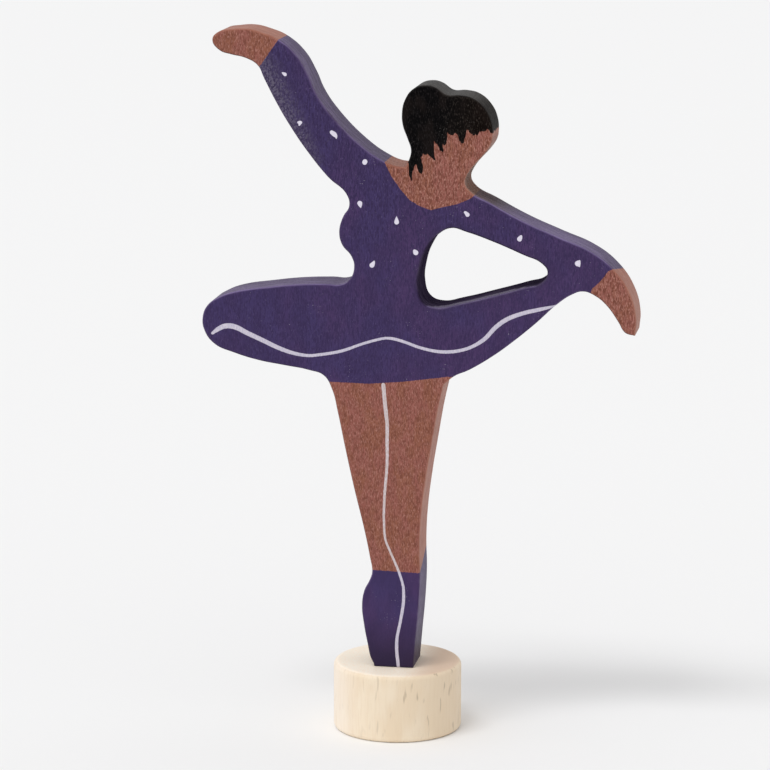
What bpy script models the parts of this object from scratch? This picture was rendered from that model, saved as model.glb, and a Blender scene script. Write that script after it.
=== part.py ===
"""Flat wooden ballerina figurine on a small turned plug base.

Frame: origin at the centre of the base's underside, +Z up, the figure's painted
front looks along -Y and its raised arm reaches towards -X. Sizes are in metres.
"""

from math import radians

import bmesh
import bpy
from mathutils import Vector

MM = 0.001

# Base
BASE_RADIUS = 10.0 * MM
BASE_HEIGHT = 10.7 * MM
BASE_TOP_ROUND = 0.8 * MM
BASE_FOOT_ROUND = 0.6 * MM
BASE_STEPS = 72

# Ballerina, cut from flat board
FIGURE_HEIGHT = 98.6 * MM
BOARD_THICKNESS = 7.6 * MM
EDGE_ROUND = 0.5 * MM
EDGE_STEPS = 2
CURVE_STEPS = 4

# Where the shoe stands on the base, from the base's centre
FORWARD = 1.0 * MM
SIDEWAYS = 0.15 * MM
GLUE_GAP = 0.3 * MM

SMOOTH = "AUTO"
CORNER = "VECTOR"

# Outline of a figure DRAWN_HEIGHT tall: x to the right of the shoe, z up from the sole,
# clockwise from the raised fingertips.
DRAWN_HEIGHT = 98.6
RAISED_ARM_TOP = [
    (-27.9, 96.9),
    (-27.1, 98.0),
    (-25.0, 98.5),
    (-22.4, 98.6),
    (-20.3, 98.1),
    (-17.8, 97.1),
    (-15.0, 94.75),
    (-13.1, 91.6),
    (-12.0, 89.1),
    (-10.0, 86.15),
    (-5.0, 81.15),
    (-2.0, 79.15),
    (0.0, 78.3),
]
HAIR_NAPE = [
    (1.75, 78.1, CORNER),
    (2.35, 79.4),
    (2.6, 80.7),
    (2.05, 82.5),
    (1.38, 84.3),
    (1.2, 86.2),
    (1.65, 88.3),
    (3.0, 90.05),
    (4.95, 90.6),
    (6.3, 90.3),
    (8.1, 89.2),
    (10.0, 89.2),
    (12.0, 88.75),
    (13.9, 87.1),
    (14.8, 85.2),
    (15.0, 83.1),
]
FACE_AND_NECK = [
    (14.8, 82.0),
    (14.3, 81.1),
    (11.1, 77.1),
    (10.8, 76.0),
    (11.3, 74.9),
]
LOWERED_ARM_TOP = [
    (14.9, 72.8),
    (20.0, 70.15),
    (25.0, 68.05),
    (30.0, 65.95),
    (33.4, 63.4),
    (35.95, 59.8),
    (37.0, 55.9),
    (36.85, 53.3, CORNER),
]
LOWERED_ARM_UNDERSIDE = [
    (35.4, 53.7),
    (34.3, 55.35),
    (32.65, 57.65),
    (30.8, 59.2),
    (28.9, 59.85),
    (27.3, 59.35),
    (25.1, 57.85),
]
TUTU_RIGHT_HEM = [
    (21.9, 54.85),
    (18.2, 51.7),
    (15.0, 49.3),
    (11.4, 47.1),
    (9.4, 46.2),
    (7.7, 44.8, CORNER),
]
LEGS_RIGHT_EDGE = [
    (6.9, 41.3),
    (5.85, 35.3),
    (4.9, 29.4),
    (4.25, 24.0),
    (4.0, 19.0),
    (4.1, 14.2),
    (3.85, 9.0),
    (3.4, 4.0),
    (3.2, 1.6),
    (3.05, 0.0, CORNER),
]
SHOE_LEFT_EDGE = [
    (-3.05, 0.0, CORNER),
    (-3.6, 1.0),
    (-4.1, 3.2),
    (-4.7, 6.4),
    (-5.0, 9.5),
    (-4.6, 11.9),
    (-3.75, 13.6),
    (-3.4, 14.8),
]
LEGS_LEFT_EDGE = [
    (-3.75, 17.2),
    (-4.6, 21.4),
    (-6.2, 28.0),
    (-7.65, 34.6),
    (-8.8, 40.2),
    (-9.6, 43.4),
    (-10.9, 45.6),
]
TUTU_LEFT_HEM = [
    (-13.1, 46.35),
    (-17.0, 47.0),
    (-21.0, 47.65),
    (-25.0, 48.75),
    (-28.0, 50.0),
    (-29.6, 52.1),
    (-29.85, 54.2),
    (-29.0, 56.1),
    (-27.2, 57.35),
]
TUTU_LEFT_TOP = [
    (-25.0, 58.2),
    (-20.0, 59.05),
    (-15.0, 59.65),
    (-10.5, 59.85),
    (-8.2, 59.85),
    (-6.9, 60.6),
]
BODICE_LEFT_SIDE = [
    (-6.15, 62.7),
    (-6.6, 64.3),
    (-8.0, 66.0),
    (-8.45, 68.0),
    (-7.85, 70.3),
    (-6.9, 72.0),
    (-7.3, 73.75),
]
RAISED_ARM_UNDERSIDE = [
    (-10.0, 76.2),
    (-13.1, 79.9),
    (-15.9, 83.9),
    (-18.1, 87.6),
    (-20.0, 91.3),
    (-20.9, 93.1),
    (-22.8, 94.2),
    (-25.0, 94.7),
    (-26.8, 95.3),
]
OUTLINE = (
    RAISED_ARM_TOP
    + HAIR_NAPE
    + FACE_AND_NECK
    + LOWERED_ARM_TOP
    + LOWERED_ARM_UNDERSIDE
    + TUTU_RIGHT_HEM
    + LEGS_RIGHT_EDGE
    + SHOE_LEFT_EDGE
    + LEGS_LEFT_EDGE
    + TUTU_LEFT_HEM
    + TUTU_LEFT_TOP
    + BODICE_LEFT_SIDE
    + RAISED_ARM_UNDERSIDE
)

# Opening between the lowered arm, the bodice and the tutu, clockwise from the waist.
OPENING = [
    (4.0, 62.9),
    (4.95, 65.6),
    (6.7, 67.9),
    (8.8, 69.0),
    (11.0, 68.5),
    (15.0, 67.15),
    (20.0, 65.1),
    (22.6, 63.95),
    (23.5, 62.6),
    (22.4, 60.9),
    (20.0, 60.1),
    (15.0, 58.65),
    (9.8, 57.25),
    (6.5, 56.65),
    (4.6, 57.4),
    (3.75, 59.6),
]


def clear_scene():
    for obj in list(bpy.data.objects):
        bpy.data.objects.remove(obj, do_unlink=True)


def make_material(name, colour, roughness):
    material = bpy.data.materials.new(name)
    material.use_nodes = True
    shader = material.node_tree.nodes["Principled BSDF"]
    shader.inputs["Base Color"].default_value = (*colour, 1.0)
    shader.inputs["Roughness"].default_value = roughness
    return material


def make_collection(name):
    collection = bpy.data.collections.new(name)
    bpy.context.scene.collection.children.link(collection)
    return collection


def add_loop(curve, knots):
    scale = FIGURE_HEIGHT / DRAWN_HEIGHT
    spline = curve.splines.new("BEZIER")
    spline.bezier_points.add(len(knots) - 1)
    spline.use_cyclic_u = True
    for point, knot in zip(spline.bezier_points, knots):
        point.co = Vector((knot[0] * scale, knot[1] * scale, 0.0))
        kind = knot[2] if len(knot) > 2 else SMOOTH
        point.handle_left_type = kind
        point.handle_right_type = kind


def build_ballerina(collection):
    curve = bpy.data.curves.new("ballerina", "CURVE")
    curve.dimensions = "2D"
    curve.fill_mode = "BOTH"
    curve.resolution_u = CURVE_STEPS
    curve.extrude = BOARD_THICKNESS / 2 - EDGE_ROUND
    curve.bevel_depth = EDGE_ROUND
    curve.bevel_resolution = EDGE_STEPS
    curve.offset = -EDGE_ROUND
    add_loop(curve, OUTLINE)
    add_loop(curve, OPENING)
    figure = bpy.data.objects.new("ballerina", curve)
    figure.rotation_euler = (radians(90.0), 0.0, 0.0)
    figure.location = (SIDEWAYS, -FORWARD, BASE_HEIGHT + GLUE_GAP)
    collection.objects.link(figure)
    curve.materials.append(make_material("stained_wood", (0.055, 0.035, 0.095), 0.45))
    return figure


def arc(centre_x, centre_z, radius, start, end, steps):
    """Points of a quarter round, as steps from the start direction to the end direction."""
    points = []
    for step in range(steps + 1):
        share = step / steps
        direction = Vector(start).slerp(Vector(end), share)
        points.append((centre_x + radius * direction.x, centre_z + radius * direction.y))
    return points


def build_base(collection):
    top_in = BASE_RADIUS - BASE_TOP_ROUND
    foot_in = BASE_RADIUS - BASE_FOOT_ROUND
    profile = [(0.0, BASE_HEIGHT)]
    profile += arc(top_in, BASE_HEIGHT - BASE_TOP_ROUND, BASE_TOP_ROUND, (0, 1), (1, 0), 5)
    profile += arc(foot_in, BASE_FOOT_ROUND, BASE_FOOT_ROUND, (1, 0), (0, -1), 4)
    profile.append((0.0, 0.0))
    mesh = bpy.data.meshes.new("base")
    form = bmesh.new()
    rim = [form.verts.new((x, 0.0, z)) for x, z in profile]
    for first, second in zip(rim, rim[1:]):
        form.edges.new((first, second))
    form.to_mesh(mesh)
    form.free()
    base = bpy.data.objects.new("base", mesh)
    collection.objects.link(base)
    turn = base.modifiers.new("turn", "SCREW")
    turn.axis = "Z"
    turn.steps = BASE_STEPS
    turn.render_steps = BASE_STEPS
    turn.use_merge_vertices = True
    turn.merge_threshold = 0.00001
    mesh.materials.append(make_material("beech", (0.78, 0.66, 0.5), 0.6))
    return base


clear_scene()
parts = make_collection("ballerina_figurine")
build_ballerina(parts)
build_base(parts)
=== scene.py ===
"""Looks of the ballerina figurine: the stained and painted cut-out and its turned beech base.

Lengths are millimetres, except those of the light and the floor. On the figure x runs to the
right of the shoe and z up from the sole, as in the part's own outline.
"""

import math
from types import SimpleNamespace

import bpy
import numpy as np
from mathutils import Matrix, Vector, geometry


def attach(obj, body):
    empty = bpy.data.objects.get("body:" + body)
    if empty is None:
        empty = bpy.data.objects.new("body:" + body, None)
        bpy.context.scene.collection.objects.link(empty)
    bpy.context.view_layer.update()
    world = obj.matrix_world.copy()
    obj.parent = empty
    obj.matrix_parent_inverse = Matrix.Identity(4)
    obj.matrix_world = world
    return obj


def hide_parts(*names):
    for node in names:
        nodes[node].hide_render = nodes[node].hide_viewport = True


MM = 0.001

# Where the figure stands in the row frame
SIDEWAYS = 0.15
SOLE = 11.0
FRONT = -4.8
BACK = 2.8
THICKNESS = BACK - FRONT
CAD_ROUND = 0.5
BASE_TOP = 10.7

# Finish of the board
EDGE_ROUND = 0.32
ROUND_STEPS = 4
WALL_ROWS = 8
CAP_LEDGE = 0.07
CORNER_EASE = 1.6
SHARPEST = 0.2
SOLE_LEVEL = 0.02

# Fineness of the mesh, the finest near the ends of stain and paint
RIM_STEP = 0.22
COARSE = 0.75
COARSE_MARGIN = 0.3
FINE = 0.16
FINE_MARGIN = 0.1
NEAR = 0.34
LINE_STEP = 0.4
DOT_STEP = 0.1

# Angles from which a drawn line and the mesh's shading stay sharp
SHARP_TURN = math.radians(40.0)
SHARP_EDGE = math.radians(42.0)

# How far points can be from the middle of their whole-millimetre cell
CELL_REACH = 0.75

# How many points are measured at a time
CHUNK = 4000

# How near points count as one, and what stands in for a length of nothing
LEVEL_SLACK = 0.01
MERGE = 1e-5
TINY = 1e-12

# Depth at which the stored distances stop
FAR = 2.0

# The stains of the shoe and the lowered hand slope across the walls, from just behind the front edge
SHOE_STAIN_TOP = 16.0
SHOE_STAIN_REACH = 5.0
SHOE_STAIN_RISE = 3.0
LOWERED_HAND_FROM = 28.0
LOWERED_HAND_FALL = 2.0
RUN_OVER = 0.3

# Camera
AZIMUTH = math.radians(9.7)
PITCH = math.radians(11.5)
DISTANCE = 530.0
AIM = (-2.0, 0.0, 54.5)
PHOTO_WIDTH = 770.0
FOCAL_LENGTH_IN_PIXELS = 3430.0
SENSOR_WIDTH = 36.0
CLIP_START = 10.0
CLIP_END = 50000.0

# Light, in metres and watts
SKY_STRENGTH = 0.725
SOFTBOX_HEIGHT = 40.0
SOFTBOX_TOWARDS = (-0.33, -0.43, 1.0)
SOFTBOX_SIZE = (22.0, 10.0)
SOFTBOX_POWER = 7200.0
WINDOW_TOWARDS = (-1.0, -0.25, 0.45)
WINDOW_ENERGY = 0.33
WINDOW_SPREAD = math.radians(60.0)

# Walls of the board, and of the opening: a lighter lip along its lower edge, painted light where light
# reaches in, dark behind it, partly dark sawn wood and partly painted shade
WALL_BLEND = 0.12
LIT_LIP_WIDTH = 2.2
LIP_STARTS = (5.0, 7.0)
LIP_ENDS = (22.0, 18.0)
LIP_TOP = 64.0
LIP_BLEND = 0.5
LIP_SHADE = 0.35
OPENING_SHADE = 0.92
RIM_DEPTH = 0.01
RIM_SHARE = 0.3

# Painted shade on the walls at the neck and chin, in the corner under the head: centre and reach along
# x and z, steepness, and depth
NECK = (12.5, 75.0)
NECK_REACH = (8.5, 5.5)
NECK_STEEP = 2.0
NECK_BLEND = 1.0
CHIN = (14.5, 80.5)
CHIN_REACH = (3.0, 3.0)
CHIN_STEEP = 3.0
CHIN_SHADE = 0.45
CHIN_DEPTH = 0.1
NECK_SHADE_STOPS = 0.05

# Dusty band along the raised sleeve: (x, z, width)
DUSTY_SLEEVE = [(-21.0, 91.5, 9.0), (-17.5, 85.5, 8.0), (-13.0, 79.0, 5.0)]
DUST_EDGE = 3.0

# Stains, and painted light and shade on them, as colours on a screen
VIOLET = (68, 57, 98)
VIOLET_REDDER = (75, 57, 96)
VIOLET_PATCH = (60, 48, 82)
VIOLET_GRAIN = (57, 46, 80)
VIOLET_FIBRE = (94, 82, 120)
VIOLET_SLEEVE = (82, 76, 92)
VIOLET_BARE = (50, 46, 62)
VIOLET_POWDER = (118, 112, 128)
VIOLET_SPECK = (120, 112, 134)
VIOLET_SAWN = (68, 52, 88)
VIOLET_STREAK = (102, 86, 124)
VIOLET_LIT = (150, 134, 184)
VIOLET_BEHIND = (56, 46, 74)
VIOLET_SHADED_AT_SOLE = (44, 36, 54)
SKIN = (148, 92, 83)
SKIN_YELLOWER = (143, 91, 74)
SKIN_GRAIN = (108, 63, 52)
SKIN_FIBRE = (184, 132, 120)
SKIN_SAWN = (154, 98, 82)
SKIN_STREAK = (174, 119, 101)
HAIR_LEFT = (6, 5, 6)
HAIR_RIGHT = (17, 12, 10)
HAIR_PATCH = (34, 27, 25)
HAIR_WORN_LEFT = (44, 40, 40)
HAIR_WORN_RIGHT = (61, 54, 49)
HAIR_SPECK = (104, 100, 98)
HAIR_SAWN = (20, 18, 18)
HAIR_STREAK = (64, 58, 54)
HAIR_SAWN_RIGHT = (14, 13, 11)
SHADE_AT_NECK = (84, 69, 60)
SHADE_AT_NECK_STREAK = (116, 96, 84)
SHADE_AT_NECK_RIGHT = (74, 70, 72)
OPENING_SAWN_SHADED = (42, 34, 54)
OPENING_STREAK_SHADED = (66, 58, 76)
SHADED_UNDERSIDE = (30, 25, 38)

# White paint, thin in the lines and thick in the dots
LINE_ON_VIOLET = (192, 187, 206)
LINE_ON_SKIN = (197, 180, 177)
LINE_FIBRE = (219, 210, 220)
DOT = (220, 214, 230)
DOT_FIBRE = (236, 232, 242)

# Beech of the base, with painted light on the left side, painted shade on the right, and a painted
# shadow on the right of the top
BEECH = (243, 226, 201)
BEECH_DEEPER = (238, 218, 190)
BEECH_LIT_LEFT = (248, 236, 222)
BEECH_SHADED_RIGHT = (226, 206, 180)
BEECH_GRAIN = (226, 202, 172)
BEECH_FLECK = (174, 154, 130)
END_GRAIN = (255, 245, 229)
END_PORES = (255, 236, 214)
END_GRAIN_SHADOWED = (216, 186, 160)

# Floor
FLOOR_COLOUR = (0.89, 0.89, 0.893, 1.0)
FLOOR_ROUGHNESS = 0.9
FLOOR_REACH = 4.0

# Sockets of the mix node that take and give colours
MIX_FIRST = 6
MIX_SECOND = 7
MIX_RESULT = 2

# Brush strokes of white paint: (x, z, width) along each
WAVE = [
    (-28.3, 51.7, 0.4), (-27.5, 52.3, 0.65), (-26.6, 52.8, 0.75), (-25.5, 52.95, 0.8),
    (-24.4, 52.7, 0.8), (-23.2, 52.1, 0.75), (-20.5, 50.9, 0.7), (-17.8, 49.7, 0.65),
    (-15.4, 48.95, 0.55), (-12.9, 48.7, 0.45), (-11.4, 48.9, 0.45), (-8.0, 49.6, 0.45),
    (-4.8, 50.8, 0.4), (-2.9, 51.4, 0.4), (-1.0, 51.8, 0.4), (0.1, 51.7, 0.45),
    (1.3, 51.4, 0.45), (4.4, 50.4, 0.45), (7.2, 49.95, 0.5), (10.1, 50.2, 0.5),
    (11.8, 50.75, 0.5), (13.9, 52.05, 0.6), (15.8, 54.1, 0.65), (17.1, 55.1, 0.65),
    (19.9, 56.3, 0.6), (22.6, 57.0, 0.55), (24.9, 57.6, 0.25),
]
LEG_LINE = [
    (-1.6, 44.5, 0.6), (-1.3, 41.2, 0.6), (-1.0, 38.3, 0.55), (-1.0, 35.4, 0.5),
    (-1.0, 32.6, 0.45), (-1.4, 26.9, 0.4), (-1.5, 23.0, 0.35), (-1.2, 19.9, 0.35),
    (-0.5, 18.2, 0.35), (0.9, 14.9, 0.4), (1.5, 12.9, 0.4), (1.6, 11.1, 0.45),
    (1.0, 6.7, 0.45), (0.6, 4.7, 0.45), (0.5, 2.7, 0.5), (0.7, 0.6, 0.5), (0.8, -0.6, 0.45),
]
DOTS = [
    [(-17.1, 92.1, 0.15), (-16.65, 91.85, 0.55)],
    [(-14.6, 84.6, 0.4), (-14.3, 84.6, 0.5), (-14.5, 84.2, 0.25)],
    [(-9.5, 83.2, 0.6), (-9.1, 82.9, 0.7), (-8.85, 82.6, 0.4), (-8.8, 82.3, 0.15)],
    [(-4.4, 78.85, 0.75), (-4.45, 78.75, 0.75)],
    [(-5.2, 72.45, 0.8), (-5.05, 71.8, 0.1)],
    [(0.45, 70.6, 0.1), (0.45, 69.75, 0.75)],
    [(3.2, 65.4, 0.45), (3.4, 65.15, 0.8), (3.75, 65.1, 0.15)],
    [(-2.95, 63.75, 0.1), (-3.15, 63.3, 0.5), (-3.35, 63.0, 0.75)],
    [(10.95, 71.5, 0.4), (11.3, 71.15, 0.65)],
    [(19.45, 68.05, 0.4), (19.25, 67.65, 0.75)],
    [(28.4, 64.6, 0.2), (28.1, 64.15, 0.85), (28.4, 63.7, 0.15)],
]

# Stained areas: closed shapes, drawn past the outline where they run over the edge
CHEST_AND_FACE = [
    (-3.3, 110.0), (-3.2, 82.0), (-2.6, 79.9), (-1.6, 79.2), (-0.4, 76.8), (1.0, 74.8),
    (2.4, 73.2), (3.9, 72.3), (5.7, 71.7), (7.5, 72.2), (9.7, 72.7), (11.8, 73.6),
    (12.8, 74.6), (20.0, 80.0), (30.0, 110.0),
]
RAISED_HAND = [
    (-17.0, 98.2), (-18.0, 96.6), (-20.2, 93.5), (-21.4, 92.0), (-40.0, 90.0),
    (-40.0, 110.0), (-16.0, 110.0),
]
LOWERED_HAND = [
    (34.6, 64.6), (33.6, 63.5), (32.7, 63.1), (32.1, 62.2), (31.3, 61.3), (30.3, 60.3),
    (29.6, 58.0), (31.0, 45.0), (50.0, 45.0), (50.0, 65.0),
]
LEGS = [
    (-14.0, 44.8), (-9.7, 44.7), (-3.8, 44.6), (1.6, 45.1), (8.4, 46.1), (10.0, 46.0),
    (10.0, 15.0), (3.7, 15.0), (0.6, 15.1), (-3.2, 15.2), (-14.0, 15.3),
]
HAIR = [
    (2.1, 78.7), (2.2, 78.0), (2.4, 76.9), (2.7, 75.7), (2.9, 75.8), (3.0, 77.4),
    (3.2, 78.2), (3.4, 78.5), (3.8, 77.7), (4.1, 77.3), (4.4, 77.5), (4.4, 78.1),
    (4.2, 78.9), (4.2, 79.7), (4.5, 80.3), (5.3, 80.0), (6.4, 79.3), (6.0, 80.2),
    (6.1, 81.0), (6.2, 82.1), (6.7, 81.6), (7.0, 81.0), (7.5, 80.5), (7.8, 80.8),
    (7.5, 81.3), (7.5, 81.9), (7.8, 81.4), (8.1, 81.9), (8.2, 82.9), (8.1, 83.7),
    (8.5, 83.3), (8.9, 83.2), (9.3, 83.4), (9.7, 83.1), (10.0, 82.5), (10.4, 82.0),
    (10.7, 82.0), (11.0, 82.9), (11.2, 84.0), (11.4, 83.7), (12.1, 83.3), (12.8, 83.4),
    (13.7, 83.9), (14.3, 84.1), (14.9, 83.6), (16.5, 83.6), (18.0, 95.0), (-3.0, 95.0),
    (-3.0, 80.5), (1.6, 78.4),
]


def spline(knots, closed, step):
    """Points about a step apart on a smooth line through the knots; sharp turns stay sharp."""
    knots = np.asarray(knots, float)
    count = len(knots)
    line = []
    for i in range(count if closed else count - 1):
        b, c = knots[i], knots[(i + 1) % count]
        a = knots[i - 1] if closed or i > 0 else b
        d = knots[(i + 2) % count] if closed or i + 2 < count else c
        if turn(a, b, c) > SHARP_TURN:
            a = b
        if turn(b, c, d) > SHARP_TURN:
            d = c
        ends = (tangent(a, b, c), tangent(b, c, d))
        length = np.linalg.norm((c - b)[:2])
        pieces = max(1, round(length / step))
        for k in range(pieces):
            line.append(hermite(b, c, ends[0] * length, ends[1] * length, k / pieces))
    if not closed:
        line.append(knots[-1])
    return np.array(line)


def turn(a, b, c):
    """Angle by which the way from a to b turns at b towards c."""
    first, second = (b - a)[:2], (c - b)[:2]
    lengths = np.linalg.norm(first) * np.linalg.norm(second)
    if lengths == 0.0:
        return 0.0
    return math.acos(max(-1.0, min(1.0, float(first @ second) / lengths)))


def tangent(a, b, c):
    """Direction at b per millimetre of chord, from its neighbours a and c."""
    before, after = np.linalg.norm((b - a)[:2]), np.linalg.norm((c - b)[:2])
    if before == 0.0:
        return (c - b) / after
    if after == 0.0:
        return (b - a) / before
    return ((b - a) / before * after + (c - b) / after * before) / (before + after)


def hermite(b, c, start, end, t):
    """Point at share t of the curve from b to c that leaves along start and arrives along end."""
    return (
        b * (2 * t ** 3 - 3 * t ** 2 + 1)
        + start * (t ** 3 - 2 * t ** 2 + t)
        + c * (3 * t ** 2 - 2 * t ** 3)
        + end * (t ** 3 - t ** 2)
    )


def segments(points, line, closed):
    """Distance from each point to each piece of the line, share along it, and the pieces' ends."""
    a = line[:, :2] if closed else line[:-1, :2]
    b = np.roll(line[:, :2], -1, axis=0) if closed else line[1:, :2]
    along = b - a
    rel = points[:, None, :] - a[None]
    share = np.clip((rel * along).sum(-1) / np.maximum((along ** 2).sum(-1), TINY), 0.0, 1.0)
    gap = rel - share[..., None] * along
    return np.sqrt((gap ** 2).sum(-1)), share, a, b


def in_chunks(measure, points, *rest):
    """The measure of all the points, taken a share at a time to save memory."""
    parts = [measure(points[i:i + CHUNK], *rest) for i in range(0, len(points), CHUNK)]
    return np.concatenate(parts)


def shape_depth(points, shape):
    """How deep each point lies inside the closed shape, negative outside."""
    distance, _, a, b = segments(points, shape, True)
    z = points[:, None, 1]
    crosses = (a[:, 1] > z) != (b[:, 1] > z)
    rise = np.where(b[:, 1] == a[:, 1], TINY, b[:, 1] - a[:, 1])
    at = a[:, 0] + (z - a[:, 1]) / rise * (b[:, 0] - a[:, 0])
    inside = (crosses & (points[:, None, 0] < at)).sum(-1) % 2 == 1
    return np.where(inside, 1.0, -1.0) * distance.min(axis=1)


def stroke_depth(points, line):
    """How deep each point lies inside the painted stroke, negative outside."""
    distance, share, _, _ = segments(points, line, False)
    half = 0.5 * (line[:-1, 2] * (1.0 - share) + line[1:, 2] * share)
    return (half - distance).max(axis=1)


def rim_loops(node):
    """The node's outlines at full size, in figure millimetres."""
    level = (FRONT + CAD_ROUND) * MM
    spots = {}
    links = {}
    for edge in node.data.edges:
        ends = [node.matrix_world @ node.data.vertices[i].co for i in edge.vertices]
        if max(abs(end.y - level) for end in ends) > LEVEL_SLACK * MM:
            continue
        keys = [(round(end.x / MM, 2), round(end.z / MM, 2)) for end in ends]
        if keys[0] == keys[1]:
            continue
        for key, end in zip(keys, ends):
            spots[key] = (end.x / MM - SIDEWAYS, end.z / MM - SOLE)
        links.setdefault(keys[0], set()).add(keys[1])
        links.setdefault(keys[1], set()).add(keys[0])
    loops = []
    while links:
        start = min(links)
        loop = [start]
        while True:
            options = [key for key in links[loop[-1]] if key not in loop[-2:] and key in links]
            following = [key for key in options if key == start and len(loop) > 2]
            following = following or [key for key in options if key not in loop]
            if not following or following[0] == start:
                break
            loop.append(following[0])
        for key in loop:
            links.pop(key)
        loops.append(np.array([spots[key] for key in loop]))
    loops.sort(key=len, reverse=True)
    return loops


def area(loop):
    """Area inside the loop, positive where it runs anticlockwise as seen from the front."""
    x, z = loop[:, 0], loop[:, 1]
    return 0.5 * float((x * np.roll(z, -1) - np.roll(x, -1) * z).sum())


def inset(loop, amount, sign):
    """The loop moved into the board by the amount, eased away from sharp outer corners."""
    before = loop - np.roll(loop, 1, axis=0)
    after = np.roll(loop, -1, axis=0) - loop
    lengths = np.linalg.norm(after, axis=1)
    before /= np.linalg.norm(before, axis=1)[:, None]
    after /= lengths[:, None]
    n1 = np.stack([-before[:, 1], before[:, 0]], axis=1) * sign
    n2 = np.stack([-after[:, 1], after[:, 0]], axis=1) * sign
    facing = (n1 * n2).sum(-1)
    moved = loop + (n1 + n2) / np.maximum(1.0 + facing, SHARPEST)[:, None] * amount
    outer = (before[:, 0] * after[:, 1] - before[:, 1] * after[:, 0]) * sign > 0
    for corner in np.nonzero(outer & (facing < math.cos(SHARP_TURN)))[0]:
        push = amount * math.sqrt((1.0 - facing[corner]) / (1.0 + facing[corner]))
        for way in (1, -1):
            gone, i = 0.0, corner
            while True:
                gone += lengths[i] if way > 0 else lengths[i - 1]
                i = (i + way) % len(loop)
                if gone >= CORNER_EASE:
                    break
                along = after[i] if way > 0 else -before[i]
                moved[i] += along * push * (1.0 - gone / CORNER_EASE)
    return moved


def paint_depths(points, depth):
    """Stain and paint at each point of the figure; depth is 0 at the front and 1 at the back."""
    shifted = points.copy()
    by_shoe = np.abs(points[:, 1] - SHOE_STAIN_TOP) < SHOE_STAIN_REACH
    shifted[:, 1] -= SHOE_STAIN_RISE * depth * by_shoe
    shifted[:, 1] += LOWERED_HAND_FALL * depth * (points[:, 0] > LOWERED_HAND_FROM)
    zones = [CHEST_AND_FACE, RAISED_HAND, LOWERED_HAND, LEGS]
    skin = np.max([in_chunks(shape_depth, shifted, np.array(zone)) for zone in zones], axis=0)
    hair = in_chunks(shape_depth, points, np.array(HAIR))
    lines = [spline(line, False, LINE_STEP) for line in [WAVE, LEG_LINE]]
    lines = np.max([in_chunks(stroke_depth, points, line) for line in lines], axis=0)
    dots = [spline(line, False, DOT_STEP) for line in DOTS]
    dots = np.max([in_chunks(stroke_depth, points, line) for line in dots], axis=0)
    back = depth > 0.0
    return {
        "skin": np.clip(skin, -FAR, FAR),
        "hair": np.clip(hair, -FAR, FAR),
        "lines": np.where(back, -FAR, np.clip(lines, -FAR, FAR)),
        "dots": np.where(back, -FAR, np.clip(dots, -FAR, FAR)),
    }


def deeper(points, loop, margin):
    """Whether each point is deeper inside the loop than the margin, measured by cells first."""
    cells, cell = np.unique(np.round(points), axis=0, return_inverse=True)
    depth = in_chunks(shape_depth, cells, loop)[cell.ravel()]
    unsure = np.abs(depth - margin) < CELL_REACH
    depth[unsure] = in_chunks(shape_depth, points[unsure], loop)
    return depth > margin


def grid(loops, spacing):
    """Points of a triangular grid over the box of the first loop."""
    low, high = loops[0].min(axis=0), loops[0].max(axis=0)
    rows = np.arange(low[1], high[1], spacing * math.sqrt(0.75))
    columns = np.arange(low[0], high[0], spacing)
    z, x = np.meshgrid(rows, columns, indexing="ij")
    x = x + (np.arange(len(rows)) % 2)[:, None] * spacing / 2
    return np.stack([x.ravel(), z.ravel()], axis=1)


def on_board(points, loops, margin):
    """The points that lie on the board, at least the margin from its edge."""
    points = points[deeper(points, loops[0][::2], margin)]
    for loop in loops[1:]:
        points = points[~deeper(points, loop[::2], -margin)]
    return points


def closeness(points):
    """Distance from each point of the front face to the nearest end of a stain or paint."""
    depths = paint_depths(points, np.zeros(len(points)))
    return np.min([np.abs(values) for values in depths.values()], axis=0)


def near_paint(points):
    """Whether each point lies close to where a stain or paint ends."""
    cells, cell = np.unique(np.round(points), axis=0, return_inverse=True)
    near = (closeness(cells) < NEAR + CELL_REACH)[cell.ravel()]
    near[near] = closeness(points[near]) < NEAR
    return near


def cap_faces(rings, extra):
    """Triangles that fill the flat face between its rings, through the extra points."""
    points = np.concatenate(rings + [extra])
    edges = []
    start = 0
    for ring in rings:
        edges += [(start + i, start + (i + 1) % len(ring)) for i in range(len(ring))]
        start += len(ring)
    found = geometry.delaunay_2d_cdt([Vector(p) for p in points], edges, [], 0, MERGE)
    lost = [tuple(found[0][k]) for k, ids in enumerate(found[3]) if not ids]
    if lost:
        raise ValueError("the rings cross at %s" % lost[:9])
    origin = [ids[0] for ids in found[3]]
    faces = np.array([[origin[i] for i in face] for face in found[2]])
    middle = points[faces].mean(axis=1)
    keep = deeper(middle, rings[0], 0.0)
    for ring in rings[1:]:
        keep &= ~deeper(middle, ring, 0.0)
    return faces[keep]


def profile():
    """Rows across the board's thickness: (inset, y)."""
    quarter = [math.radians(90.0 * k / ROUND_STEPS) for k in range(ROUND_STEPS + 1)]
    rows = [(EDGE_ROUND + CAP_LEDGE, FRONT)]
    for a in quarter:
        rows.append((EDGE_ROUND * (1 - math.sin(a)), FRONT + EDGE_ROUND * (1 - math.cos(a))))
    span = THICKNESS - 2 * EDGE_ROUND
    rows += [(0.0, FRONT + EDGE_ROUND + span * k / WALL_ROWS) for k in range(1, WALL_ROWS)]
    rows += [(i, FRONT + BACK - y) for i, y in reversed(rows[:ROUND_STEPS + 2])]
    return rows


def wall_faces(loops, signs, rows, size):
    """Squares between each row and the next, all turned to face out of the board."""
    faces = []
    for row in range(rows - 1):
        start = row * size
        for loop, sign in zip(loops, signs):
            count = len(loop)
            for i in range(count):
                a, b = start + i, start + (i + 1) % count
                quad = (a, b, b + size, a + size)
                faces.append(quad[::-1] if sign > 0 else quad)
            start += count
    return faces


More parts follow.
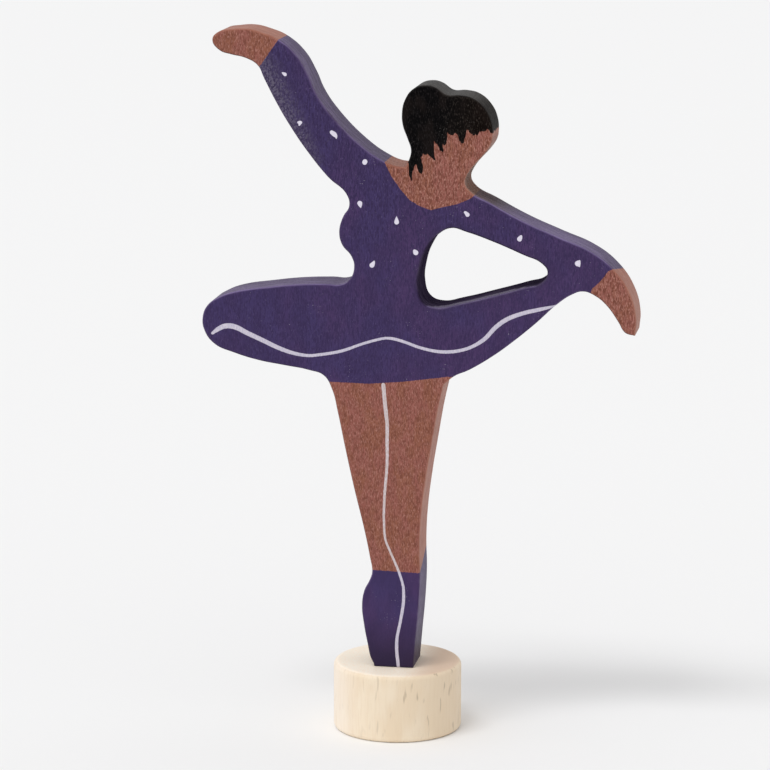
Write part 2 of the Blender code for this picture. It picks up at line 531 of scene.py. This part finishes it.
def cap_points(front_rings, back_rings):
    """Points within the front face, closer together near stain and paint ends, and within the back."""
    coarse, fine = grid(front_rings, COARSE), grid(front_rings, FINE)
    coarse = on_board(coarse[~near_paint(coarse)], front_rings, COARSE_MARGIN)
    fine = on_board(fine[near_paint(fine)], front_rings, FINE_MARGIN)
    plain = on_board(grid(back_rings, COARSE), back_rings, COARSE_MARGIN)
    return np.concatenate([coarse, fine]), plain


def store(mesh, layers):
    """Keep each layer's values on the mesh's points, for the material to read."""
    for name, values in layers.items():
        layer = mesh.attributes.new(name, "FLOAT", "POINT")
        layer.data.foreach_set("value", values.astype(np.float32))


def build_figure(node):
    """The cut-out as one closed mesh, with what the material needs stored on its points."""
    loops = [spline(loop, True, RIM_STEP) for loop in rim_loops(node)]
    sole = loops[0][:, 1] < SOLE_LEVEL
    loops[0][sole, 1] = BASE_TOP - SOLE
    signs = [1.0 if area(loops[0]) > 0 else -1.0]
    signs += [-1.0 if area(loop) > 0 else 1.0 for loop in loops[1:]]
    rows = profile()
    size = sum(len(loop) for loop in loops)
    spots, levels = [], []
    for amount, y in rows:
        for loop, sign in zip(loops, signs):
            spots.append(inset(loop, amount, sign))
        levels.append(np.full(size, y))
    faces = wall_faces(loops, signs, len(rows), size)
    front_rings = spots[:len(loops)]
    back_rings = spots[-len(loops):]
    extra, plain = cap_points(front_rings, back_rings)
    total = len(rows) * size
    front = cap_faces(front_rings, extra)
    front = np.where(front < size, front, front - size + total)
    back = cap_faces(back_rings, plain)
    back = np.where(back < size, back + total - size, back - size + total + len(extra))
    flat = np.concatenate(spots + [extra, plain])
    y = np.concatenate(levels + [np.full(len(extra), FRONT), np.full(len(plain), BACK)])
    faces += [tuple(face) for face in face_ways(front, flat, False)]
    faces += [tuple(face) for face in face_ways(back, flat, True)]
    points = np.stack([(flat[:, 0] + SIDEWAYS) * MM, y * MM, (flat[:, 1] + SOLE) * MM], axis=1)
    mesh = bpy.data.meshes.new("figure")
    mesh.from_pydata(points.tolist(), [], faces)
    depth = y - FRONT
    in_hole = np.zeros(len(flat), bool)
    for row in range(len(rows)):
        in_hole[row * size + len(loops[0]):(row + 1) * size] = True
    layers = paint_depths(flat, np.clip((depth - RUN_OVER) / THICKNESS, 0.0, 1.0))
    layers.update(wall_tones(flat, depth, in_hole))
    store(mesh, layers)
    mesh.shade_smooth()
    mesh.set_sharp_from_angle(angle=SHARP_EDGE)
    figure = bpy.data.objects.new("stained_ballerina", mesh)
    bpy.context.scene.collection.objects.link(figure)
    return figure


def fade(values, start, end):
    """0 at the start and 1 at the end, held beyond both."""
    return np.clip((values - start) / (end - start), 0.0, 1.0)


def within(points, centre, reach):
    """1 at the centre, falling to 0 at the reach."""
    x, z = points[:, 0], points[:, 1]
    return 1.0 - np.clip(np.hypot((x - centre[0]) / reach[0], (z - centre[1]) / reach[1]), 0.0, 1.0)


def wall_tones(points, depth, in_hole):
    """How far each point is a sawn wall, a dark wall of the opening with painted shade, in painted
    shade at the neck and chin, or dusty, from 0 to 1.
    """
    x, z = points[:, 0], points[:, 1]
    wall = fade(np.minimum(depth, THICKNESS - depth), 0.0, WALL_BLEND)
    # painted light on the lip of the opening's lower wall, and painted shade deeper in over its dark
    # sawn wood
    lit_lip = LIT_LIP_WIDTH * fade(x, *LIP_STARTS) * fade(x, *LIP_ENDS) * (z < LIP_TOP)
    opening_dark_and_shade = np.clip((depth - lit_lip + LIP_BLEND / 2) / LIP_BLEND, LIP_SHADE, OPENING_SHADE)
    opening_dark_and_shade *= in_hole * (depth < THICKNESS)
    opening_dark_and_shade *= np.where(depth > RIM_DEPTH, 1.0, RIM_SHARE)
    # painted shade at the neck and chin, where the head shades the walls
    neck = np.minimum(NECK_STEEP * within(points, NECK, NECK_REACH), 1.0)
    neck *= fade(depth, RUN_OVER, RUN_OVER + NECK_BLEND)
    chin = np.minimum(CHIN_STEEP * within(points, CHIN, CHIN_REACH), 1.0)
    chin *= CHIN_SHADE * (depth > CHIN_DEPTH)
    neck_shade = np.maximum(neck, chin) * ~in_hole * (depth < THICKNESS - NECK_SHADE_STOPS)
    dust = fade(in_chunks(stroke_depth, points, np.array(DUSTY_SLEEVE)), 0.0, DUST_EDGE)
    return {"wall": wall, "opening_dark_and_shade": opening_dark_and_shade, "neck_shade": neck_shade, "dust": dust}


def face_ways(faces, flat, towards_back):
    """The cap's triangles, all turned to face out of the board."""
    a, b, c = flat[faces[:, 0]], flat[faces[:, 1]], flat[faces[:, 2]]
    cross = (b - a)[:, 0] * (c - a)[:, 1] - (b - a)[:, 1] * (c - a)[:, 0]
    wrong = (cross > 0) if towards_back else (cross < 0)
    return np.where(wrong[:, None], faces[:, ::-1], faces).tolist()


def colour(shade):
    """A screen colour of 0 to 255 as linear light, by the sRGB curve."""
    def light(value):
        value /= 255.0
        return value / 12.92 if value <= 0.04045 else ((value + 0.055) / 1.055) ** 2.4
    return (*[light(value) for value in shade], 1.0)


def is_socket(value):
    return isinstance(value, bpy.types.NodeSocket)


class Graph:
    """A material's nodes, added a step at a time."""

    def __init__(self, name):
        self.material = bpy.data.materials.new(name)
        self.material.use_nodes = True
        self.tree = self.material.node_tree
        self.shader = self.tree.nodes["Principled BSDF"]

    def put(self, socket, value):
        if is_socket(value):
            self.tree.links.new(value, socket)
        else:
            socket.default_value = value

    def surface(self, name, value):
        """Give the shader's own input the value."""
        self.put(self.shader.inputs[name], value)

    def add(self, kind, inputs=(), output=0, **settings):
        node = self.tree.nodes.new(kind)
        for key, value in settings.items():
            setattr(node, key, value)
        for key, value in dict(inputs).items():
            self.put(node.inputs[key], value)
        return node.outputs[output]

    def math(self, operation, a, b, c=0.0):
        return self.add("ShaderNodeMath", {0: a, 1: b, 2: c}, operation=operation)

    def times(self, a, b):
        return self.math("MULTIPLY", a, b)

    def ramp(self, value, low, high, to_low=0.0, to_high=1.0):
        """The value carried from low..high to to_low..to_high, held at the ends."""
        ends = {0: value, 1: low, 2: high, 3: to_low, 4: to_high}
        return self.add("ShaderNodeMapRange", ends, clamp=True, interpolation_type="SMOOTHSTEP")

    def mix(self, share, a, b):
        """Colour a, with the share of colour b in it; both are sockets or screen colours."""
        node = self.tree.nodes.new("ShaderNodeMix")
        node.data_type = "RGBA"
        self.put(node.inputs[0], share)
        self.put(node.inputs[MIX_FIRST], a if is_socket(a) else colour(a))
        self.put(node.inputs[MIX_SECOND], b if is_socket(b) else colour(b))
        return node.outputs[MIX_RESULT]

    def place(self, stretch, offset=(0.0, 0.0, 0.0)):
        """Object coordinates in millimetres, squeezed by the stretch."""
        where = self.add("ShaderNodeTexCoord", output="Object")
        scale = tuple(s / MM for s in stretch)
        return self.add("ShaderNodeMapping", {"Vector": where, "Scale": scale, "Location": offset})

    def part(self, axis):
        """Object coordinate along one axis, in millimetres."""
        where = self.place((1.0, 1.0, 1.0))
        return self.add("ShaderNodeSeparateXYZ", {"Vector": where}, output=axis)

    def noise(self, stretch, detail, rough, offset=(0.0, 0.0, 0.0)):
        where = self.place(stretch, offset)
        inputs = {"Vector": where, "Scale": 1.0, "Detail": detail, "Roughness": rough}
        return self.add("ShaderNodeTexNoise", inputs)

    def attribute(self, name):
        return self.add("ShaderNodeAttribute", attribute_name=name, output="Fac")

    def towards(self, way):
        """How far the surface faces the way, up to 1."""
        ways = {0: self.add("ShaderNodeNewGeometry", output="Normal"), 1: way}
        return self.add("ShaderNodeVectorMath", ways, output="Value", operation="DOT_PRODUCT")

    def bump(self, height, distance, strength):
        inputs = {"Height": height, "Distance": distance * MM, "Strength": strength}
        return self.add("ShaderNodeBump", inputs)


def wood_values(g):
    """What the stains and the painted light and shade share: noises, stored values, and coordinates
    across, deep and high.
    """
    w = SimpleNamespace(
        grain=g.noise((4.2, 4.2, 1.0), 4.0, 0.65),
        fibre=g.noise((8.3, 8.3, 2.1), 3.0, 0.6, (3.0, 1.0, 7.0)),
        cloud=g.noise((0.16, 0.16, 0.1), 3.0, 0.5, (5.0, 0.0, 2.0)),
        patch=g.noise((0.45, 0.45, 0.2), 2.0, 0.5, (1.0, 4.0, 9.0)),
        streaks=g.ramp(g.noise((0.25, 1.6, 0.25), 4.0, 0.7, (7.0, 0.0, 3.0)), 0.38, 0.62),
        wall=g.attribute("wall"),
        opening_dark_and_shade=g.attribute("opening_dark_and_shade"),
        dust=g.attribute("dust"),
        neck_shade=g.attribute("neck_shade"),
        across=g.part(0),
        deep=g.part(1),
        height=g.part(2),
    )
    ragged = g.noise((6.0, 6.0, 1.2), 2.0, 0.6, (2.0, 2.0, 2.0))
    w.ragged = g.math("MULTIPLY_ADD", ragged, 0.24, -0.12)
    speck = g.noise((4.4, 4.4, 4.4), 1.0, 0.5, (9.0, 3.0, 1.0))
    swarm = g.noise((0.35, 0.35, 0.35), 2.0, 0.6, (6.0, 6.0, 2.0))
    dotted = g.math("MULTIPLY_ADD", w.dust, 0.09, g.math("MULTIPLY_ADD", swarm, 0.5, speck))
    w.dotted = g.ramp(dotted, 1.02, 1.06)
    return w


def violet_stain_with_painted_light(g, w):
    violet = g.mix(g.ramp(w.cloud, 0.38, 0.62), VIOLET, VIOLET_REDDER)
    violet = g.mix(g.ramp(w.patch, 0.38, 0.62, 0.0, 0.45), violet, VIOLET_PATCH)
    rough = g.ramp(w.height, SOLE + 60.0, SOLE + 78.0, 0.8, 1.2)
    rough = g.ramp(w.height, SOLE + 12.0, SOLE + 30.0, 0.2, rough)
    violet = g.mix(g.times(rough, g.ramp(w.grain, 0.42, 0.62)), violet, VIOLET_GRAIN)
    violet = g.mix(g.times(rough, g.ramp(w.fibre, 0.56, 0.68, 0.0, 0.55)), violet, VIOLET_FIBRE)
    powder = g.noise((3.6, 3.6, 2.8), 3.0, 0.7, (1.0, 8.0, 2.0))
    violet = g.mix(g.times(w.dust, 0.3), violet, VIOLET_SLEEVE)
    violet = g.mix(g.times(w.dust, g.ramp(powder, 0.36, 0.48, 0.6, 0.0)), violet, VIOLET_BARE)
    violet = g.mix(g.times(w.dust, g.ramp(powder, 0.46, 0.6, 0.0, 0.6)), violet, VIOLET_POWDER)
    violet = g.mix(w.dotted, violet, VIOLET_SPECK)
    sawn = g.mix(w.streaks, VIOLET_SAWN, VIOLET_STREAK)
    above = g.ramp(g.towards((0.0, -0.35, 0.94)), 0.65, 0.95)
    inward = g.ramp(w.across, 17.0, 24.0, 0.07, 0.2)
    above = g.times(above, g.ramp(w.deep, FRONT, FRONT + 0.9, 0.38, inward))
    sawn = g.mix(above, sawn, VIOLET_LIT)
    sawn = g.mix(g.ramp(w.deep, FRONT, BACK, 0.0, 0.4), sawn, VIOLET_BEHIND)
    violet = g.mix(w.wall, violet, sawn)
    # painted shade, darker towards the sole where the shoe meets the base
    return g.mix(g.ramp(w.height, SOLE, SOLE + 9.0, 0.7, 0.0), violet, VIOLET_SHADED_AT_SOLE)


def skin_stain(g, w):
    skin = g.mix(g.ramp(w.patch, 0.4, 0.6), SKIN, SKIN_YELLOWER)
    strong = g.ramp(w.height, SOLE + 80.0, SOLE + 94.0, 0.92, 0.72)
    strong = g.ramp(w.height, SOLE + 44.0, SOLE + 62.0, 0.68, strong)
    skin = g.mix(g.times(strong, g.ramp(w.grain, 0.4, 0.62)), skin, SKIN_GRAIN)
    skin = g.mix(g.times(strong, g.ramp(w.fibre, 0.5, 0.66)), skin, SKIN_FIBRE)
    sawn = g.mix(w.streaks, SKIN_SAWN, SKIN_STREAK)
    return g.mix(g.times(w.wall, 0.85), skin, sawn)


def hair_stain(g, w):
    hair = g.mix(g.ramp(w.across, 7.0, 13.0), HAIR_LEFT, HAIR_RIGHT)
    hair = g.mix(g.ramp(w.patch, 0.42, 0.62, 0.0, 0.4), hair, HAIR_PATCH)
    worn = g.mix(g.ramp(w.across, 6.0, 12.0), HAIR_WORN_LEFT, HAIR_WORN_RIGHT)
    hair = g.mix(g.ramp(w.fibre, 0.53, 0.67, 0.0, 0.85), hair, worn)
    hair = g.mix(g.times(w.dotted, 0.6), hair, HAIR_SPECK)
    sawn = g.mix(w.streaks, HAIR_SAWN, HAIR_STREAK)
    sawn = g.mix(g.ramp(w.across, 12.5, 15.0, 0.0, 0.7), sawn, HAIR_SAWN_RIGHT)
    return g.mix(g.times(w.wall, 0.7), hair, sawn)


def with_dark_walls(g, w, base):
    """The colour with painted shade at the neck and chin, the opening's dark walls with painted shade,
    and painted shade on the undersides.
    """
    # painted shade at the neck and chin, brown with a greyer right end
    brown = g.mix(w.streaks, SHADE_AT_NECK, SHADE_AT_NECK_STREAK)
    brown = g.mix(g.ramp(w.across, 12.5, 15.5, 0.0, 0.6), brown, SHADE_AT_NECK_RIGHT)
    base = g.mix(g.times(w.neck_shade, 0.75), base, brown)
    # the opening's dark sawn walls, deepened by painted shade
    base = g.mix(w.opening_dark_and_shade, base, g.mix(w.streaks, OPENING_SAWN_SHADED, OPENING_STREAK_SHADED))
    # painted shade on the edges that face down and left, away from the light
    under = g.ramp(g.towards((-0.55, 0.0, -0.83)), 0.25, 0.85, 0.0, 0.75)
    return g.mix(under, base, SHADED_UNDERSIDE)


def with_paint(g, w, base, in_skin):
    """The colour with the white lines and dots on it."""
    ragged = g.times(w.ragged, 0.4)
    in_lines = g.ramp(g.math("ADD", g.attribute("lines"), ragged), -0.04, 0.04)
    in_dots = g.ramp(g.math("ADD", g.attribute("dots"), ragged), -0.04, 0.04)
    worn = g.ramp(w.fibre, 0.4, 0.7)
    thin = g.mix(worn, g.mix(in_skin, LINE_ON_VIOLET, LINE_ON_SKIN), LINE_FIBRE)
    base = g.mix(in_lines, base, thin)
    return g.mix(in_dots, base, g.mix(worn, DOT, DOT_FIBRE))


def stained_wood():
    g = Graph("stained_wood")
    w = wood_values(g)
    in_skin = g.ramp(g.math("ADD", g.attribute("skin"), w.ragged), -0.05, 0.05)
    locks = g.noise((2.2, 2.2, 0.35), 2.0, 0.5, (8.0, 1.0, 5.0))
    locks = g.math("ADD", locks, g.math("SUBTRACT", w.ragged, 0.5))
    in_hair = g.ramp(g.math("ADD", g.attribute("hair"), locks), -0.06, 0.06)
    base = g.mix(in_skin, violet_stain_with_painted_light(g, w), skin_stain(g, w))
    base = g.mix(in_hair, base, hair_stain(g, w))
    base = with_dark_walls(g, w, base)
    base = with_paint(g, w, base, in_skin)
    facing = g.add("ShaderNodeLayerWeight", {"Blend": 0.5}, output="Facing")
    dull = g.times(in_hair, g.ramp(w.across, 10.0, 14.0, 0.0, 0.9))
    dull = g.math("MAXIMUM", dull, g.times(w.neck_shade, 0.93))
    dull = g.math("MAXIMUM", dull, g.ramp(w.opening_dark_and_shade, 0.0, 0.9))
    gloss = g.times(g.ramp(facing, 0.1, 0.4, 0.03, 0.17), g.math("SUBTRACT", 1.0, dull))
    relief = g.math("ADD", g.times(w.grain, 0.7), g.times(w.fibre, 0.3))
    g.surface("Base Color", base)
    g.surface("Roughness", g.ramp(w.grain, 0.3, 0.7, 0.42, 0.6))
    g.surface("Specular IOR Level", gloss)
    g.surface("Normal", g.bump(relief, 0.06, 0.5))
    return g.material


def beech():
    g = Graph("beech")
    grain = g.noise((3.0, 3.0, 0.3), 3.0, 0.6)
    fleck = g.noise((1.7, 1.7, 0.34), 1.0, 0.4, (4.0, 0.0, 1.0))
    cloud = g.noise((0.2, 0.2, 0.1), 2.0, 0.5)
    pores = g.noise((5.0, 5.0, 1.0), 2.0, 0.5, (1.0, 2.0, 3.0))
    across, height = g.part(0), g.part(2)
    side = g.mix(g.ramp(cloud, 0.4, 0.6), BEECH, BEECH_DEEPER)
    # painted light on the base's left side and painted shade on its right
    side = g.mix(g.ramp(across, -9.0, -3.0, 0.7, 0.0), side, BEECH_LIT_LEFT)
    side = g.mix(g.ramp(across, 3.0, 9.5, 0.0, 0.5), side, BEECH_SHADED_RIGHT)
    side = g.mix(g.ramp(grain, 0.45, 0.7, 0.0, 0.22), side, BEECH_GRAIN)
    flecked = g.times(g.ramp(fleck, 0.62, 0.76), g.ramp(across, -4.0, 3.0, 0.15, 0.6))
    side = g.mix(flecked, side, BEECH_FLECK)
    top = g.mix(g.ramp(pores, 0.45, 0.65), END_GRAIN, END_PORES)
    # painted shadow of the shoe and legs on the right of the top
    top = g.mix(g.ramp(across, 1.0, 7.0, 0.0, 0.85), top, END_GRAIN_SHADOWED)
    g.surface("Base Color", g.mix(g.ramp(height, BASE_TOP - 0.25, BASE_TOP - 0.02), side, top))
    g.surface("Roughness", g.ramp(grain, 0.3, 0.7, 0.5, 0.65))
    g.surface("Specular IOR Level", 0.3)
    g.surface("Normal", g.bump(grain, 0.05, 0.4))
    return g.material


def add_floor():
    mesh = bpy.data.meshes.new("floor")
    ways = [(-1, -1), (1, -1), (1, 1), (-1, 1)]
    corners = [(x * FLOOR_REACH, y * FLOOR_REACH, 0.0) for x, y in ways]
    mesh.from_pydata(corners, [], [(0, 1, 2, 3)])
    floor = bpy.data.objects.new("floor", mesh)
    bpy.context.scene.collection.objects.link(floor)
    g = Graph("floor")
    g.surface("Base Color", FLOOR_COLOUR)
    g.surface("Roughness", FLOOR_ROUGHNESS)
    g.surface("Specular IOR Level", 0.0)
    mesh.materials.append(g.material)


def add_light():
    world = bpy.data.worlds.new("studio")
    world.use_nodes = True
    sky = world.node_tree.nodes["Background"]
    sky.inputs["Color"].default_value = (1.0, 1.0, 1.0, 1.0)
    sky.inputs["Strength"].default_value = SKY_STRENGTH
    bpy.context.scene.world = world
    lamp = bpy.data.lights.new("softbox", "AREA")
    lamp.shape = "RECTANGLE"
    lamp.size, lamp.size_y = SOFTBOX_SIZE
    lamp.energy = SOFTBOX_POWER
    softbox = bpy.data.objects.new("softbox", lamp)
    softbox.location = Vector(SOFTBOX_TOWARDS) * SOFTBOX_HEIGHT
    bpy.context.scene.collection.objects.link(softbox)
    lamp = bpy.data.lights.new("window", "SUN")
    lamp.energy = WINDOW_ENERGY
    lamp.angle = WINDOW_SPREAD
    window = bpy.data.objects.new("window", lamp)
    window.rotation_euler = Vector(WINDOW_TOWARDS).to_track_quat("Z", "Y").to_euler()
    bpy.context.scene.collection.objects.link(window)


def add_camera():
    away = Vector((
        math.sin(AZIMUTH) * math.cos(PITCH),
        -math.cos(AZIMUTH) * math.cos(PITCH),
        math.sin(PITCH),
    ))
    lens = bpy.data.cameras.new("camera")
    lens.sensor_width = SENSOR_WIDTH
    lens.lens = FOCAL_LENGTH_IN_PIXELS / PHOTO_WIDTH * SENSOR_WIDTH
    lens.clip_start = CLIP_START * MM
    lens.clip_end = CLIP_END * MM
    camera = bpy.data.objects.new("camera", lens)
    camera.location = (Vector(AIM) + away * DISTANCE) * MM
    camera.rotation_euler = away.to_track_quat("Z", "Y").to_euler()
    bpy.context.scene.collection.objects.link(camera)
    bpy.context.scene.camera = camera


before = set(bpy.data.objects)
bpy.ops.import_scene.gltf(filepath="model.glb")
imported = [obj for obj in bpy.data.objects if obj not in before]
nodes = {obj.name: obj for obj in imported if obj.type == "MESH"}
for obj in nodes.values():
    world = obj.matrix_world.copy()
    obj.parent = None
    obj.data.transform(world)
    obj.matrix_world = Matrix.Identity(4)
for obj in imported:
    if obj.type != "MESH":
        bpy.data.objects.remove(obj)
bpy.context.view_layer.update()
figure = build_figure(nodes["ballerina"])
figure.data.materials.append(stained_wood())
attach(figure, "root")
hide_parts("ballerina")
base = nodes["base"]
base.data.materials.clear()
base.data.materials.append(beech())
add_floor()
add_light()
add_camera()
bpy.context.scene.view_settings.view_transform = "Standard"
